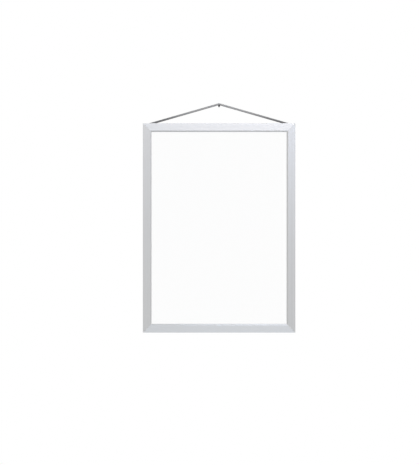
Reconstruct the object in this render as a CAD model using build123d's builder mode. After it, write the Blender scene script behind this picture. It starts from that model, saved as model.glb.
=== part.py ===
"""Hanging frame for an A5 sheet: four grooved rails pressed onto two clear panes by one elastic cord.

Millimetres. +Z is up, the front faces -Y and +X is to the right. The origin is where the axis of the
nail meets the wall, and the wall is the plane Y = 0.
"""

import math
import os

from build123d import *

# Driving dimensions: the sheet and the panes that hold it
sheet_width = 148.0
sheet_height = 210.0
sheet_room = 0.2
pane_margin = 1.5
pane_thickness = 2.0
pane_edge_break = 0.2
pane_engagement = 1.8
pane_edge_clearance = 0.3
pane_face_clearance = 0.15

# Driving dimensions: the elastic cord and the groove that it lies in
cord_diameter = 2.2
cord_clearance = 0.1
cord_exit_rise = 2.0
groove_depth = 3.0
groove_side_clearance = 0.3
groove_corner_radius = 1.2
groove_mouth_break = 0.3

# Driving dimensions: walls, hollows and edges of the extruded rail
web_wall = 1.2
core_width = 1.8
face_wall = 1.3
chamber_depth = 1.75
side_wall = 1.2
front_edge_radius = 0.6
rear_edge_radius = 0.4
sight_bevel_width = 1.3
sight_bevel_depth = 1.0
sight_bevel_radius = 0.25
mitre_gap = 0.15

# Driving dimensions: the nail
nail_rise = 18.95
nail_shank_radius = 0.75
nail_shank_length = 16.0
nail_point_length = 3.5
nail_neck_radius = 0.7
nail_head_radius = 1.0
nail_head_cone = 0.4
nail_head_rim = 0.5
nail_head_crown = 0.3
nail_head_clearance = 0.4

# Rail section, measured inwards from the outer edge and across the depth
channel_depth = pane_engagement + pane_edge_clearance
channel_width = 2 * (pane_thickness + pane_face_clearance) + sheet_room
groove_width = cord_diameter + 2 * groove_side_clearance
face_width = groove_depth + web_wall + core_width + web_wall + channel_depth
frame_depth = 2 * (face_wall + chamber_depth + side_wall) + channel_width

# Outline of the frame and its places
pane_width = sheet_width + 2 * pane_margin
pane_height = sheet_height + 2 * pane_margin
rail_reach = face_width - channel_depth + pane_edge_clearance
outer_width = pane_width + 2 * rail_reach
outer_height = pane_height + 2 * rail_reach
frame_top = -nail_rise
frame_bottom = frame_top - outer_height
frame_middle = (frame_top + frame_bottom) / 2
mid_depth = -frame_depth / 2

# Route of the cord: round the groove, out at the top corners and over the nail
cord_radius = cord_diameter / 2
cord_stand_off = cord_clearance + cord_radius
corner_bend_radius = groove_corner_radius + cord_stand_off
nail_bend_radius = nail_neck_radius + cord_stand_off
corner_inset = groove_depth + groove_corner_radius
corner_across = outer_width / 2 - corner_inset
corner_below_nail = nail_rise + corner_inset
corner_distance = math.hypot(corner_across, corner_below_nail)
cord_slope = math.atan2(corner_below_nail, corner_across)
cord_slope -= math.asin((corner_bend_radius - nail_bend_radius) / corner_distance)
cord_peak = nail_bend_radius / math.cos(cord_slope)
cord_exit_height = frame_top + cord_exit_rise
cord_exit_across = (cord_peak - cord_exit_height) / math.tan(cord_slope)
side_run_across = outer_width / 2 - groove_depth + cord_stand_off
side_run_top = cord_peak - side_run_across * math.tan(cord_slope)
bottom_run_height = frame_bottom + groove_depth - cord_stand_off

front_view = Plane(origin=(0, mid_depth, 0), x_dir=(1, 0, 0), z_dir=(0, -1, 0))
frame_view = Plane(origin=(0, mid_depth, frame_middle), x_dir=(1, 0, 0), z_dir=(0, -1, 0))


def make_rail(label, edge_middle, inward, along, length):
    """One mitred rail. Its section is drawn with x inwards from the outer edge and y to the front."""
    section = Plane(origin=edge_middle, x_dir=inward, z_dir=along)
    half_depth = frame_depth / 2
    mouth_width = groove_width + 2 * groove_mouth_break
    with BuildPart() as rail:
        with BuildSketch(section) as outline:
            with BuildLine():
                Polyline(
                    (0, -half_depth),
                    (face_width, -half_depth),
                    (face_width, half_depth - sight_bevel_depth),
                    (face_width - sight_bevel_width, half_depth),
                    (0, half_depth),
                    close=True,
                )
            make_face()
            corners = outline.vertices().sort_by(Axis.Y)
            fillet(corners[:2], rear_edge_radius)
            fillet(corners[2:3], sight_bevel_radius)
            front_corners = corners[3:].sort_by(Axis.X)
            fillet(front_corners[0], front_edge_radius)
            fillet(front_corners[1], sight_bevel_radius)
        extrude(amount=length / 2, both=True)

        # Hollows left by the walls, round the groove on one side and the pane channel on the other
        with BuildSketch(section):
            add(outline.sketch_local)
            offset(amount=-face_wall)
            Rectangle(
                groove_depth + web_wall,
                groove_width + 2 * side_wall,
                align=(Align.MIN, Align.CENTER),
                mode=Mode.SUBTRACT,
            )
            with Locations((face_width, 0)):
                Rectangle(
                    channel_depth + web_wall,
                    channel_width + 2 * side_wall,
                    align=(Align.MAX, Align.CENTER),
                    mode=Mode.SUBTRACT,
                )
        extrude(amount=length / 2, both=True, mode=Mode.SUBTRACT)

        # Channel that takes the edges of both panes, and the flared mouth of the cord groove
        with BuildSketch(section):
            with Locations((face_width, 0)):
                Rectangle(channel_depth, channel_width, align=(Align.MAX, Align.CENTER))
            with BuildLine():
                Polyline(
                    (0, mouth_width / 2),
                    (groove_mouth_break, groove_width / 2),
                    (groove_mouth_break, -groove_width / 2),
                    (0, -mouth_width / 2),
                    close=True,
                )
            make_face()
        extrude(amount=length / 2, both=True, mode=Mode.SUBTRACT)

        # Cord groove, with its floor rounded at the frame's corners
        with BuildSketch(frame_view):
            Rectangle(outer_width, outer_height)
            RectangleRounded(
                outer_width - 2 * groove_depth,
                outer_height - 2 * groove_depth,
                groove_corner_radius,
                mode=Mode.SUBTRACT,
            )
        extrude(amount=groove_width / 2, both=True, mode=Mode.SUBTRACT)

        # Mitres, each set back by half the hairline joint
        for end in (-1, 1):
            outwards = (Vector(along) * end + Vector(inward)).normalized()
            corner = Vector(edge_middle) + Vector(along) * (end * length / 2)
            mitre = Plane(origin=corner - outwards * (mitre_gap / 2), z_dir=outwards)
            split(bisect_by=mitre, keep=Keep.BOTTOM)
    rail.part.label = label
    return rail.part


def make_pane(label, rear_face):
    """One clear pane, its rear face at the given depth, with all its edges broken."""
    with BuildPart() as pane:
        with BuildSketch(frame_view.offset(mid_depth - rear_face)):
            Rectangle(pane_width, pane_height)
        extrude(amount=pane_thickness)
        chamfer(pane.edges(), pane_edge_break)
    pane.part.label = label
    return pane.part


def make_cord(label, bend_radius, points):
    """One length of the cord: straight runs through the points, joined by tangent arcs."""
    with BuildPart() as cord:
        with BuildLine(front_view):
            route = FilletPolyline(*points, radius=bend_radius)
        with BuildSketch(Plane(origin=route @ 0, z_dir=route % 0)):
            Circle(cord_radius)
        sweep(path=route)
    cord.part.label = label
    swept = math.pi * cord_radius**2 * route.length
    print(f"{label}: {route.length:.1f} mm long, bends of {bend_radius:.2f} mm,")
    print(f"    volume {cord.part.volume:.1f} of {swept:.1f} mm3 by section and length")
    return cord.part


def make_nail():
    """The nail, turned about the Y axis: point in the wall, head just in front of the cord."""
    head_rear = mid_depth - cord_radius - nail_head_clearance
    rim_rear = head_rear - nail_head_cone
    rim_front = rim_rear - nail_head_rim
    with BuildPart() as nail:
        with BuildSketch(Plane.XY):
            with BuildLine():
                Polyline(
                    (0, rim_front - nail_head_crown),
                    (0, nail_shank_length + nail_point_length),
                    (nail_shank_radius, nail_shank_length),
                    (nail_shank_radius, 0),
                    (nail_neck_radius, head_rear),
                    (nail_head_radius, rim_rear),
                    (nail_head_radius, rim_front),
                )
                crown_bulge = (nail_head_radius**2 + nail_head_crown**2) / (2 * nail_head_crown)
                RadiusArc(
                    (nail_head_radius, rim_front),
                    (0, rim_front - nail_head_crown),
                    crown_bulge,
                )
            make_face()
        revolve(axis=Axis.Y)
    nail.part.label = "hanging_nail"
    return nail.part


up = (0, 0, 1)
down = (0, 0, -1)
left = (-1, 0, 0)
right = (1, 0, 0)

pieces = [
    make_nail(),
    make_rail("top_rail", (0, mid_depth, frame_top), down, left, outer_width),
    make_rail("bottom_rail", (0, mid_depth, frame_bottom), up, right, outer_width),
    make_rail("left_rail", (-outer_width / 2, mid_depth, frame_middle), right, down, outer_height),
    make_rail("right_rail", (outer_width / 2, mid_depth, frame_middle), left, up, outer_height),
    make_pane("front_pane", mid_depth - sheet_room / 2),
    make_pane("back_pane", mid_depth + sheet_room / 2 + pane_thickness),
    make_cord(
        "hanging_cord",
        nail_bend_radius,
        [
            (-cord_exit_across, cord_exit_height),
            (0, cord_peak),
            (cord_exit_across, cord_exit_height),
        ],
    ),
]
for side, sign in (("left", -1), ("right", 1)):
    pieces.append(
        make_cord(
            f"top_{side}_cord",
            corner_bend_radius,
            [
                (sign * cord_exit_across, cord_exit_height),
                (sign * side_run_across, side_run_top),
                (sign * side_run_across, frame_middle),
            ],
        )
    )
    pieces.append(
        make_cord(
            f"bottom_{side}_cord",
            corner_bend_radius,
            [
                (sign * side_run_across, frame_middle),
                (sign * side_run_across, bottom_run_height),
                (0, bottom_run_height),
            ],
        )
    )

os.makedirs("parts", exist_ok=True)
for piece in pieces:
    export_step(piece, f"parts/{piece.label}.step")
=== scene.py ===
"""Looks of the hanging frame: satin aluminium rails, clear panes, grey elastic cord and a dark nail.

Metres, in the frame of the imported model: +Z is up, the front faces -Y, and the axis of the nail
runs along Y through the origin, where it meets the wall.
"""

import math

import bpy
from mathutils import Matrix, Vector


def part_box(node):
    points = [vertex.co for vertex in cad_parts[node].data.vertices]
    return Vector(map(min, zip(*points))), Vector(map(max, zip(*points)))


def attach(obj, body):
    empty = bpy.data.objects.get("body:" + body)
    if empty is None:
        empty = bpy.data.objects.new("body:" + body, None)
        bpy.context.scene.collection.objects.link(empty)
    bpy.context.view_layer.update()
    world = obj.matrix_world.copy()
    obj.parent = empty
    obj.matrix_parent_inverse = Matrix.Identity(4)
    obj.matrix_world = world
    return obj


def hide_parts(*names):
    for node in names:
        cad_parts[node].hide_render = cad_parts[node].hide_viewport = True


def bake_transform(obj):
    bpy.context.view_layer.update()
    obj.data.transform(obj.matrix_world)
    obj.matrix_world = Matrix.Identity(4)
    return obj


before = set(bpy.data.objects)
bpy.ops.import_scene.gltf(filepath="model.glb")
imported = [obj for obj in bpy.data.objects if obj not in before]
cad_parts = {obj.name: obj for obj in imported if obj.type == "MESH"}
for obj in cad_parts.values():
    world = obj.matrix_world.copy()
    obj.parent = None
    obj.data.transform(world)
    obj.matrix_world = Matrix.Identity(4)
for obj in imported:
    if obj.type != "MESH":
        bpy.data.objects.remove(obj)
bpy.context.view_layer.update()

# The photograph: its size and the frame's outer edges in it, in pixels
PHOTO_WIDTH = 419
PHOTO_HEIGHT = 465
PHOTO_FRAME_LEFT = 142.82
PHOTO_FRAME_RIGHT = 295.36
PHOTO_FRAME_TOP = 123.2
PHOTO_FRAME_BOTTOM = 332.65

# The camera: distance in front of the rails, and the film's longer side
CAMERA_DISTANCE = 4.0
FILM_LONG_SIDE_MM = 36.0

# The outer edges of the rails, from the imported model
FRAME_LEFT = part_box("left_rail")[0].x
FRAME_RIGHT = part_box("right_rail")[1].x
FRAME_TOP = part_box("top_rail")[1].z
FRAME_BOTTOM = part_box("bottom_rail")[0].z
FRAME_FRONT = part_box("top_rail")[0].y
FRAME_MIDDLE = (FRAME_TOP + FRAME_BOTTOM) / 2

# The cord: its radius, its place in depth, its free length, and the points that draw its route, given
# across and up, on the right half
CORD_RADIUS = 0.0011
CORD_DEPTH = -0.0065
OVER_NAIL = (0.000267, 0.0019)
NEAR_NAIL = (0.000782, 0.001752)
CORD_EXIT = (0.06591, -0.01695)
TOP_BEND_IN = (0.07772, -0.02034)
TOP_BEND = (0.0812, -0.02134)
TOP_BEND_OUT = (0.0812, -0.02496)
HALF_WAY = (0.0812, FRAME_MIDDLE)
BOTTOM_BEND_IN = (0.0812, -0.24035)
BOTTOM_BEND = (0.0812, -0.24515)
BOTTOM_BEND_OUT = (0.0764, -0.24515)
BOTTOM_CENTRE = (0.0, -0.24515)

# Where the cord stretches as a side rail is pulled out, and the thinner length inside it halfway down
TOP_STRETCH = (0.066, 0.0775)
BOTTOM_STRETCH = (0.0, 0.072)
INNER_CORD_RADIUS = 0.00106
INNER_CORD_REACH = 0.0125

# The tubes: steps along each span of the route, sides round it, and steps in a rounded end
ROUTE_STEPS = 28
CORD_SIDES = 24
END_STEPS = 6

# The braid: yarns of one set, counted round the cord and along a length of one circumference, and the
# distances from the nail between which the cord's painted light turns to painted shade
BRAID_YARNS = 8
BRAID_RISE = 7
PAINTED_LIGHT_REACH = 0.025
PAINTED_SHADE_REACH = 0.075

# The floor: its matt grey, and the glow added to that under the frame and at the rim, which changes
# between two distances from the middle. After it, the colour and light of the room.
FLOOR_HEIGHT = -0.6
FLOOR_RADIUS = 2.6
FLOOR_SIDES = 96
FLOOR_COLOUR = (0.8, 0.8, 0.8, 1)
FLOOR_GLOW = (0.45, 0.45, 0.45)
FLOOR_RIM_GLOW = (0.63, 0.63, 0.63)
FLOOR_RIM_START = 0.5
FLOOR_RIM_END = 1.6
ROOM_COLOUR = (1, 1, 1, 1)
ROOM_LIGHT = 0.45


class Value:
    """A socket of a node tree. Arithmetic on it adds Math nodes."""

    def __init__(self, finish, socket):
        self.finish = finish
        self.socket = socket

    def math(self, operation, *others):
        return self.finish.maths(operation, self, *others)

    def output(self, name):
        return Value(self.finish, self.socket.node.outputs[name])

    def __add__(self, other):
        return self.finish.maths("ADD", self, other)

    def __radd__(self, other):
        return self.finish.maths("ADD", other, self)

    def __sub__(self, other):
        return self.finish.maths("SUBTRACT", self, other)

    def __rsub__(self, other):
        return self.finish.maths("SUBTRACT", other, self)

    def __mul__(self, other):
        return self.finish.maths("MULTIPLY", self, other)

    def __rmul__(self, other):
        return self.finish.maths("MULTIPLY", other, self)


class Finish:
    """A node tree that is filled node by node."""

    def __init__(self, tree):
        self.tree = tree
        self.tree.nodes.clear()

    def node(self, kind, settings=None, inputs=None, output=0):
        made = self.tree.nodes.new(kind)
        for name, setting in (settings or {}).items():
            setattr(made, name, setting)
        for name, value in (inputs or {}).items():
            if isinstance(value, Value):
                self.tree.links.new(value.socket, made.inputs[name])
            else:
                made.inputs[name].default_value = value
        return Value(self, made.outputs[output]) if made.outputs else None

    def maths(self, operation, *values):
        return self.node("ShaderNodeMath", {"operation": operation}, dict(enumerate(values)))

    def place(self):
        return self.node("ShaderNodeTexCoord", output="Object")

    def facing(self):
        """How far the surface faces along X. The other axes are outputs of the same node."""
        direction = self.node("ShaderNodeTexCoord", output="Normal")
        return self.node("ShaderNodeSeparateXYZ", None, {0: direction}, output="X")

    def grain(self, scale, detail):
        """Noise stretched by a scale for each axis, in cells per metre."""
        stretched = self.node("ShaderNodeMapping", None, {"Vector": self.place(), "Scale": scale})
        sockets = {"Vector": stretched, "Scale": 1.0, "Detail": detail}
        return self.node("ShaderNodeTexNoise", None, sockets)

    def fade(self, value, start, end):
        """0 below start, 1 above end, and smooth between them."""
        settings = {"interpolation_type": "SMOOTHSTEP"}
        sockets = {"Value": value, "From Min": start, "From Max": end}
        return self.node("ShaderNodeMapRange", settings, sockets)

    def tint(self, factor, first, second):
        """A mix of two colours. Each is given as three numbers or as a Value."""
        colours = [c if isinstance(c, Value) else (*c, 1) for c in (first, second)]
        sockets = {0: factor, 6: colours[0], 7: colours[1]}
        return self.node("ShaderNodeMix", {"data_type": "RGBA"}, sockets, output=2)

    def relief(self, height, strength, distance):
        sockets = {"Height": height, "Strength": strength, "Distance": distance}
        return self.node("ShaderNodeBump", None, sockets)

    def surface(self, sockets):
        """Ends the tree in a Principled shader with the given sockets."""
        shader = self.node("ShaderNodeBsdfPrincipled", None, sockets)
        self.node("ShaderNodeOutputMaterial", None, {"Surface": shader})

    def seen(self):
        """1 for rays that come from the camera, a gloss or a clear piece, and 0 for the rest."""
        path = self.node("ShaderNodeLightPath", output="Is Camera Ray")
        gloss = path.math("MAXIMUM", path.output("Is Glossy Ray"))
        return gloss.math("MAXIMUM", path.output("Is Transmission Ray"))


def new_finish(name):
    """A material with an empty node tree."""
    material = bpy.data.materials.new(name)
    material.use_nodes = True
    return material, Finish(material.node_tree)


def satin_aluminium(name, grain_scale, line_scale, die_scale, turn):
    """Clear anodised aluminium: grain, lines and die marks along the rail, and bare sawn mitres."""
    material, finish = new_finish(name)
    fine = finish.grain(grain_scale, detail=2.0)
    lines = finish.grain(line_scale, detail=1.0)
    die_marks = finish.grain(die_scale, detail=1.0)
    cloud = finish.grain((18.0, 18.0, 18.0), detail=3.0)
    tone = 0.25 * fine + 0.2 * lines + 0.4 * die_marks + 0.15 * cloud
    satin = finish.tint(tone, (0.495, 0.493, 0.491), (0.656, 0.654, 0.652))
    saw_marks = finish.grain((2400.0, 80.0, 2400.0), detail=2.0)
    bare = finish.tint(saw_marks, (0.6, 0.597, 0.59), (0.78, 0.775, 0.765))
    # A sawn mitre faces as far along X as along Z, so the product of the two is 0.5 there
    across = finish.facing()
    slant = (across * across.output("Z")).math("ABSOLUTE")
    sawn = finish.fade(slant, start=0.38, end=0.45)
    drawn = 1.0 - sawn
    satin_roughness = 0.31 + 0.1 * fine + 0.08 * die_marks
    sawn_roughness = 0.2 + 0.3 * saw_marks
    height = drawn * (0.7 * fine + 0.3 * lines) + 4.0 * sawn * saw_marks
    finish.surface(
        {
            "Base Color": finish.tint(sawn, satin, bare),
            "Metallic": 1.0,
            "Roughness": drawn * satin_roughness + sawn * sawn_roughness,
            "Anisotropic": 0.6,
            "Anisotropic Rotation": turn,
            "Normal": finish.relief(height, strength=0.12, distance=0.00003),
        }
    )
    return material


def clear_acrylic():
    """Polished clear sheet with a trace of haze, and pale cut edges that mirror what is round them."""
    material, finish = new_finish("clear_acrylic")
    haze = finish.grain((22.0, 22.0, 22.0), detail=4.0)
    cutter_marks = finish.grain((1500.0, 90.0, 1500.0), detail=2.0)
    depthwise = finish.facing().output("Y").math("ABSOLUTE")
    edge = 1.0 - finish.fade(depthwise, start=0.3, end=0.6)
    rim = finish.tint(cutter_marks, (0.66, 0.7, 0.7), (0.84, 0.87, 0.87))
    finish.surface(
        {
            "Base Color": finish.tint(edge, (0.988, 0.989, 0.989), rim),
            "Metallic": 0.9 * edge,
            "Roughness": 0.012 * haze + edge * (0.15 + 0.2 * cutter_marks),
            "IOR": 1.49,
            "Transmission Weight": 1.0,
        }
    )
    return material


def braided_elastic():
    """Grey elastic cord: two sets of yarn cross in a round braid, with painted shade between the
    yarns, painted light near the nail and painted shade further from it.
    """
    material, finish = new_finish("braided_elastic")
    marks = finish.node("ShaderNodeUVMap", {"uv_map": "braid"})
    around = finish.node("ShaderNodeSeparateXYZ", None, {0: marks}, output="X")
    along = around.output("Y")
    rising = BRAID_YARNS * around + BRAID_RISE * along
    falling = BRAID_YARNS * around - BRAID_RISE * along
    over = (rising.math("FLOOR") + falling.math("FLOOR")).math("PINGPONG", 1.0)
    rising_yarn = (math.pi * rising).math("SINE").math("ABSOLUTE")
    falling_yarn = (math.pi * falling).math("SINE").math("ABSOLUTE")
    yarn = over * rising_yarn + (1.0 - over) * falling_yarn
    fuzz = finish.grain((4000.0, 4000.0, 4000.0), detail=2.0)
    from_nail = finish.node(
        "ShaderNodeVectorMath", {"operation": "LENGTH"}, {0: finish.place()}, output="Value"
    )
    # Painted light near the nail, turning to painted shade along the cord towards the frame
    painted_shade = finish.fade(from_nail, start=PAINTED_LIGHT_REACH, end=PAINTED_SHADE_REACH)
    # Painted shade between the yarns: the colour there is darker than on their crowns
    hollow_painted_shade = finish.tint(painted_shade, (0.285, 0.274, 0.26), (0.115, 0.11, 0.105))
    crown = finish.tint(painted_shade, (0.52, 0.501, 0.476), (0.253, 0.243, 0.233))
    finish.surface(
        {
            "Base Color": finish.tint(0.75 * yarn + 0.25 * fuzz, hollow_painted_shade, crown),
            "Roughness": 0.72 + 0.2 * fuzz,
            "Specular IOR Level": 0.15,
            "Normal": finish.relief(0.85 * yarn + 0.15 * fuzz, strength=0.6, distance=0.00012),
        }
    )
    return material


def blued_steel():
    """Dark heat-blued steel with drawn and struck marks."""
    material, finish = new_finish("blued_steel")
    scale = finish.grain((900.0, 900.0, 900.0), detail=4.0)
    drawn = finish.grain((9000.0, 300.0, 9000.0), detail=2.0)
    tone = 0.6 * scale + 0.4 * drawn
    finish.surface(
        {
            "Base Color": finish.tint(tone, (0.01, 0.01, 0.012), (0.036, 0.037, 0.04)),
            "Metallic": 1.0,
            "Roughness": 0.36 + 0.25 * scale,
            "Normal": finish.relief(0.5 * scale + 0.5 * drawn, strength=0.3, distance=0.00005),
        }
    )
    return material


def cord_route(name, points, side=1):
    """The smooth line of a length of cord, on the right (1) or left (-1), read from a NURBS spline."""
    line = bpy.data.curves.new(name, "CURVE")
    line.dimensions = "3D"
    spline = line.splines.new("NURBS")
    spline.points.add(len(points) - 1)
    for place, (across, height) in zip(spline.points, points):
        place.co = (side * across, CORD_DEPTH, height, 1)
    spline.order_u = 3
    spline.use_endpoint_u = True
    spline.resolution_u = ROUTE_STEPS
    holder = bpy.data.objects.new(name, line)
    bpy.context.scene.collection.objects.link(holder)
    sampled = bpy.data.meshes.new_from_object(holder)
    route = [vertex.co.copy() for vertex in sampled.vertices]
    bpy.data.objects.remove(holder)
    bpy.data.curves.remove(line)
    bpy.data.meshes.remove(sampled)
    return route


def cord_rings(route, radius):
    """Centre, direction, radius and distance along the cord for each ring, with rounded ends."""
    last = len(route) - 1
    directions = [
        (route[min(i + 1, last)] - route[max(i - 1, 0)]).normalized() for i in range(last + 1)
    ]
    travelled = [0.0]
    for before, after in zip(route, route[1:]):
        travelled.append(travelled[-1] + (after - before).length)
    head, tail = [], []
    for i in range(1, END_STEPS):
        swing = math.pi / 2 * i / END_STEPS
        reach, narrow = radius * math.sin(swing), radius * math.cos(swing)
        head.insert(0, (route[0] - directions[0] * reach, directions[0], narrow, -reach))
        tail.append(
            (route[-1] + directions[-1] * reach, directions[-1], narrow, travelled[-1] + reach)
        )
    return head + list(zip(route, directions, [radius] * (last + 1), travelled)) + tail


def make_cord(name, route, radius, material):
    """A tube of cord along a route in the cord's plane, with rounded ends and a map for the braid."""
    rings = cord_rings(route, radius)
    front = Vector((0, -1, 0))
    places, heights = [], []
    for centre, direction, ring_radius, distance in rings:
        upward = direction.cross(front)
        heights.append(distance / (2 * math.pi * radius))
        for i in range(CORD_SIDES):
            angle = 2 * math.pi * i / CORD_SIDES
            spoke = math.cos(angle) * front + math.sin(angle) * upward
            places.append(centre + ring_radius * spoke)
    faces, marks = [], []
    for row in range(len(rings) - 1):
        low, high = row * CORD_SIDES, (row + 1) * CORD_SIDES
        for i in range(CORD_SIDES):
            j = (i + 1) % CORD_SIDES
            faces.append((low + i, low + j, high + j, high + i))
            left, right = i / CORD_SIDES, (i + 1) / CORD_SIDES
            marks += [(left, heights[row]), (right, heights[row])]
            marks += [(right, heights[row + 1]), (left, heights[row + 1])]
    end = len(rings) * CORD_SIDES
    faces.append(tuple(range(CORD_SIDES - 1, -1, -1)))
    faces.append(tuple(range(end - CORD_SIDES, end)))
    marks += [(0.0, heights[0])] * CORD_SIDES + [(0.0, heights[-1])] * CORD_SIDES
    mesh = bpy.data.meshes.new(name)
    mesh.from_pydata(places, [], faces)
    braid = mesh.uv_layers.new(name="braid")
    for corner, mark in zip(braid.data, marks):
        corner.uv = mark
    mesh.shade_smooth()
    mesh.materials.append(material)
    cord = bpy.data.objects.new(name, mesh)
    bpy.context.scene.collection.objects.link(cord)
    return cord


def make_softbox(name, place, aim, size, power, colour):
    """A rectangular lamp that faces a point."""
    lamp = bpy.data.lights.new(name, "AREA")
    lamp.shape = "RECTANGLE"
    lamp.size, lamp.size_y = size
    lamp.energy = power
    lamp.color = colour
    holder = bpy.data.objects.new(name, lamp)
    holder.location = place
    holder.rotation_euler = (Vector(aim) - Vector(place)).to_track_quat("-Z", "Y").to_euler()
    bpy.context.scene.collection.objects.link(holder)


# Rails, panes and nail keep their solids and get their finishes
rail_across = satin_aluminium(
    "satin_rail_across",
    grain_scale=(60, 7000, 7000),
    line_scale=(3, 2200, 2200),
    die_scale=(0.6, 700, 700),
    turn=0.25,
)
rail_upright = satin_aluminium(
    "satin_rail_upright",
    grain_scale=(7000, 7000, 60),
    line_scale=(2200, 2200, 3),
    die_scale=(700, 700, 0.6),
    turn=0.0,
)
acrylic = clear_acrylic()
elastic = braided_elastic()
steel = blued_steel()
for node, material in {
    "top_rail": rail_across,
    "bottom_rail": rail_across,
    "left_rail": rail_upright,
    "right_rail": rail_upright,
    "front_pane": acrylic,
    "back_pane": acrylic,
    "hanging_nail": steel,
}.items():
    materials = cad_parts[node].data.materials
    materials.clear()
    materials.append(material)

# The free length of the cord, from the left top corner over the nail to the right one
right_half = [OVER_NAIL, NEAR_NAIL, CORD_EXIT]
left_half = [(-across, height) for across, height in reversed(right_half)]
hanging_route = cord_route("hanging_route", left_half + right_half)
hanging = make_cord("elastic_over_nail", hanging_route, CORD_RADIUS, elastic)
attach(hanging, "hanger")
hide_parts("hanging_cord")

# The lengths in the grooves, round the top and bottom corners of each side, and the thinner length
# inside each side rail
top_points = [CORD_EXIT, TOP_BEND_IN, TOP_BEND, TOP_BEND_OUT, HALF_WAY]
bottom_points = [HALF_WAY, BOTTOM_BEND_IN, BOTTOM_BEND, BOTTOM_BEND_OUT, BOTTOM_CENTRE]
inner_points = [(HALF_WAY[0], FRAME_MIDDLE + d * INNER_CORD_REACH) for d in (1, 0, -1)]
for side, sign in (("left", -1), ("right", 1)):
    for level, points, stretch in (
        ("top", top_points, TOP_STRETCH),
        ("bottom", bottom_points, BOTTOM_STRETCH),
    ):
        route = cord_route(f"{level}_{side}_route", points, sign)
        corner_cord = make_cord(f"elastic_{level}_{side}", route, CORD_RADIUS, elastic)
        sign * stretch[0]
        sign * stretch[1]
        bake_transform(corner_cord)
        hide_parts(f"{level}_{side}_cord")
    inner_route = cord_route(f"inner_{side}_route", inner_points, sign)
    inner_cord = make_cord(f"elastic_middle_{side}", inner_route, INNER_CORD_RADIUS, elastic)
    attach(inner_cord, f"{side}_side")

# The floor, well below the frame, pale under it and white further out
bpy.ops.object.select_all(action="DESELECT")
bpy.ops.mesh.primitive_circle_add(
    vertices=FLOOR_SIDES, radius=FLOOR_RADIUS, fill_type="NGON", location=(0, 0, FLOOR_HEIGHT)
)
floor = bpy.context.object
floor.name = "floor"
floor_material, pale = new_finish("pale_floor")
outwards = pale.node(
    "ShaderNodeVectorMath", {"operation": "LENGTH"}, {0: pale.place()}, output="Value"
)
rim = pale.fade(outwards, start=FLOOR_RIM_START, end=FLOOR_RIM_END)
glow = pale.tint(rim, FLOOR_GLOW, FLOOR_RIM_GLOW)
matt = pale.node("ShaderNodeBsdfDiffuse", None, {"Color": FLOOR_COLOUR})
glowing = pale.node("ShaderNodeEmission", None, {"Color": glow, "Strength": 1.0})
shown = pale.node("ShaderNodeMixShader", None, {0: pale.seen(), 2: glowing})
lit = pale.node("ShaderNodeAddShader", None, {0: matt, 1: shown})
pale.node("ShaderNodeOutputMaterial", None, {"Surface": lit})
floor.data.materials.append(floor_material)

# Light: an even white room, a wide softbox above the front, and bluer ones on the right and overhead
world = bpy.data.worlds.new("white_room")
bpy.context.scene.world = world
world.use_nodes = True
room = Finish(world.node_tree)
brightness = ROOM_LIGHT + (1 - ROOM_LIGHT) * room.seen()
walls = room.node("ShaderNodeBackground", None, {"Color": ROOM_COLOUR, "Strength": brightness})
room.node("ShaderNodeOutputWorld", None, {"Surface": walls})
make_softbox(
    "key_softbox",
    place=(0.17, -0.52, 0.27),
    aim=(0.0, 0.0, -0.06),
    size=(0.6, 0.2),
    power=1.61,
    colour=(1.0, 0.89, 0.88),
)
make_softbox(
    "side_softbox",
    place=(0.3, -0.5, 0.03),
    aim=(0.0, 0.0, -0.1),
    size=(0.2, 0.2),
    power=0.4,
    colour=(0.6, 0.72, 0.95),
)
make_softbox(
    "overhead_softbox",
    place=(0.3, -1.4, 1.1),
    aim=(0.0, 0.0, -0.1),
    size=(1.4, 0.9),
    power=6.2,
    colour=(0.2, 0.6, 1.0),
)

# The camera, straight in front, with the frame where the photograph has it
scale = (
    (FRAME_RIGHT - FRAME_LEFT) / (PHOTO_FRAME_RIGHT - PHOTO_FRAME_LEFT)
    + (FRAME_TOP - FRAME_BOTTOM) / (PHOTO_FRAME_BOTTOM - PHOTO_FRAME_TOP)
) / 2
photo_centre_across = (PHOTO_FRAME_LEFT + PHOTO_FRAME_RIGHT) / 2
photo_centre_down = (PHOTO_FRAME_TOP + PHOTO_FRAME_BOTTOM) / 2
camera_data = bpy.data.cameras.new("camera")
camera_data.sensor_width = FILM_LONG_SIDE_MM
camera_data.lens = FILM_LONG_SIDE_MM * CAMERA_DISTANCE / (scale * PHOTO_HEIGHT)
camera = bpy.data.objects.new("camera", camera_data)
camera.location = (
    (FRAME_LEFT + FRAME_RIGHT) / 2 + scale * (PHOTO_WIDTH / 2 - photo_centre_across),
    FRAME_FRONT - CAMERA_DISTANCE,
    FRAME_MIDDLE - scale * (PHOTO_HEIGHT / 2 - photo_centre_down),
)
camera.rotation_euler = (math.pi / 2, 0, 0)
bpy.context.scene.collection.objects.link(camera)
bpy.context.scene.camera = camera
bpy.context.scene.view_settings.view_transform = "Standard"
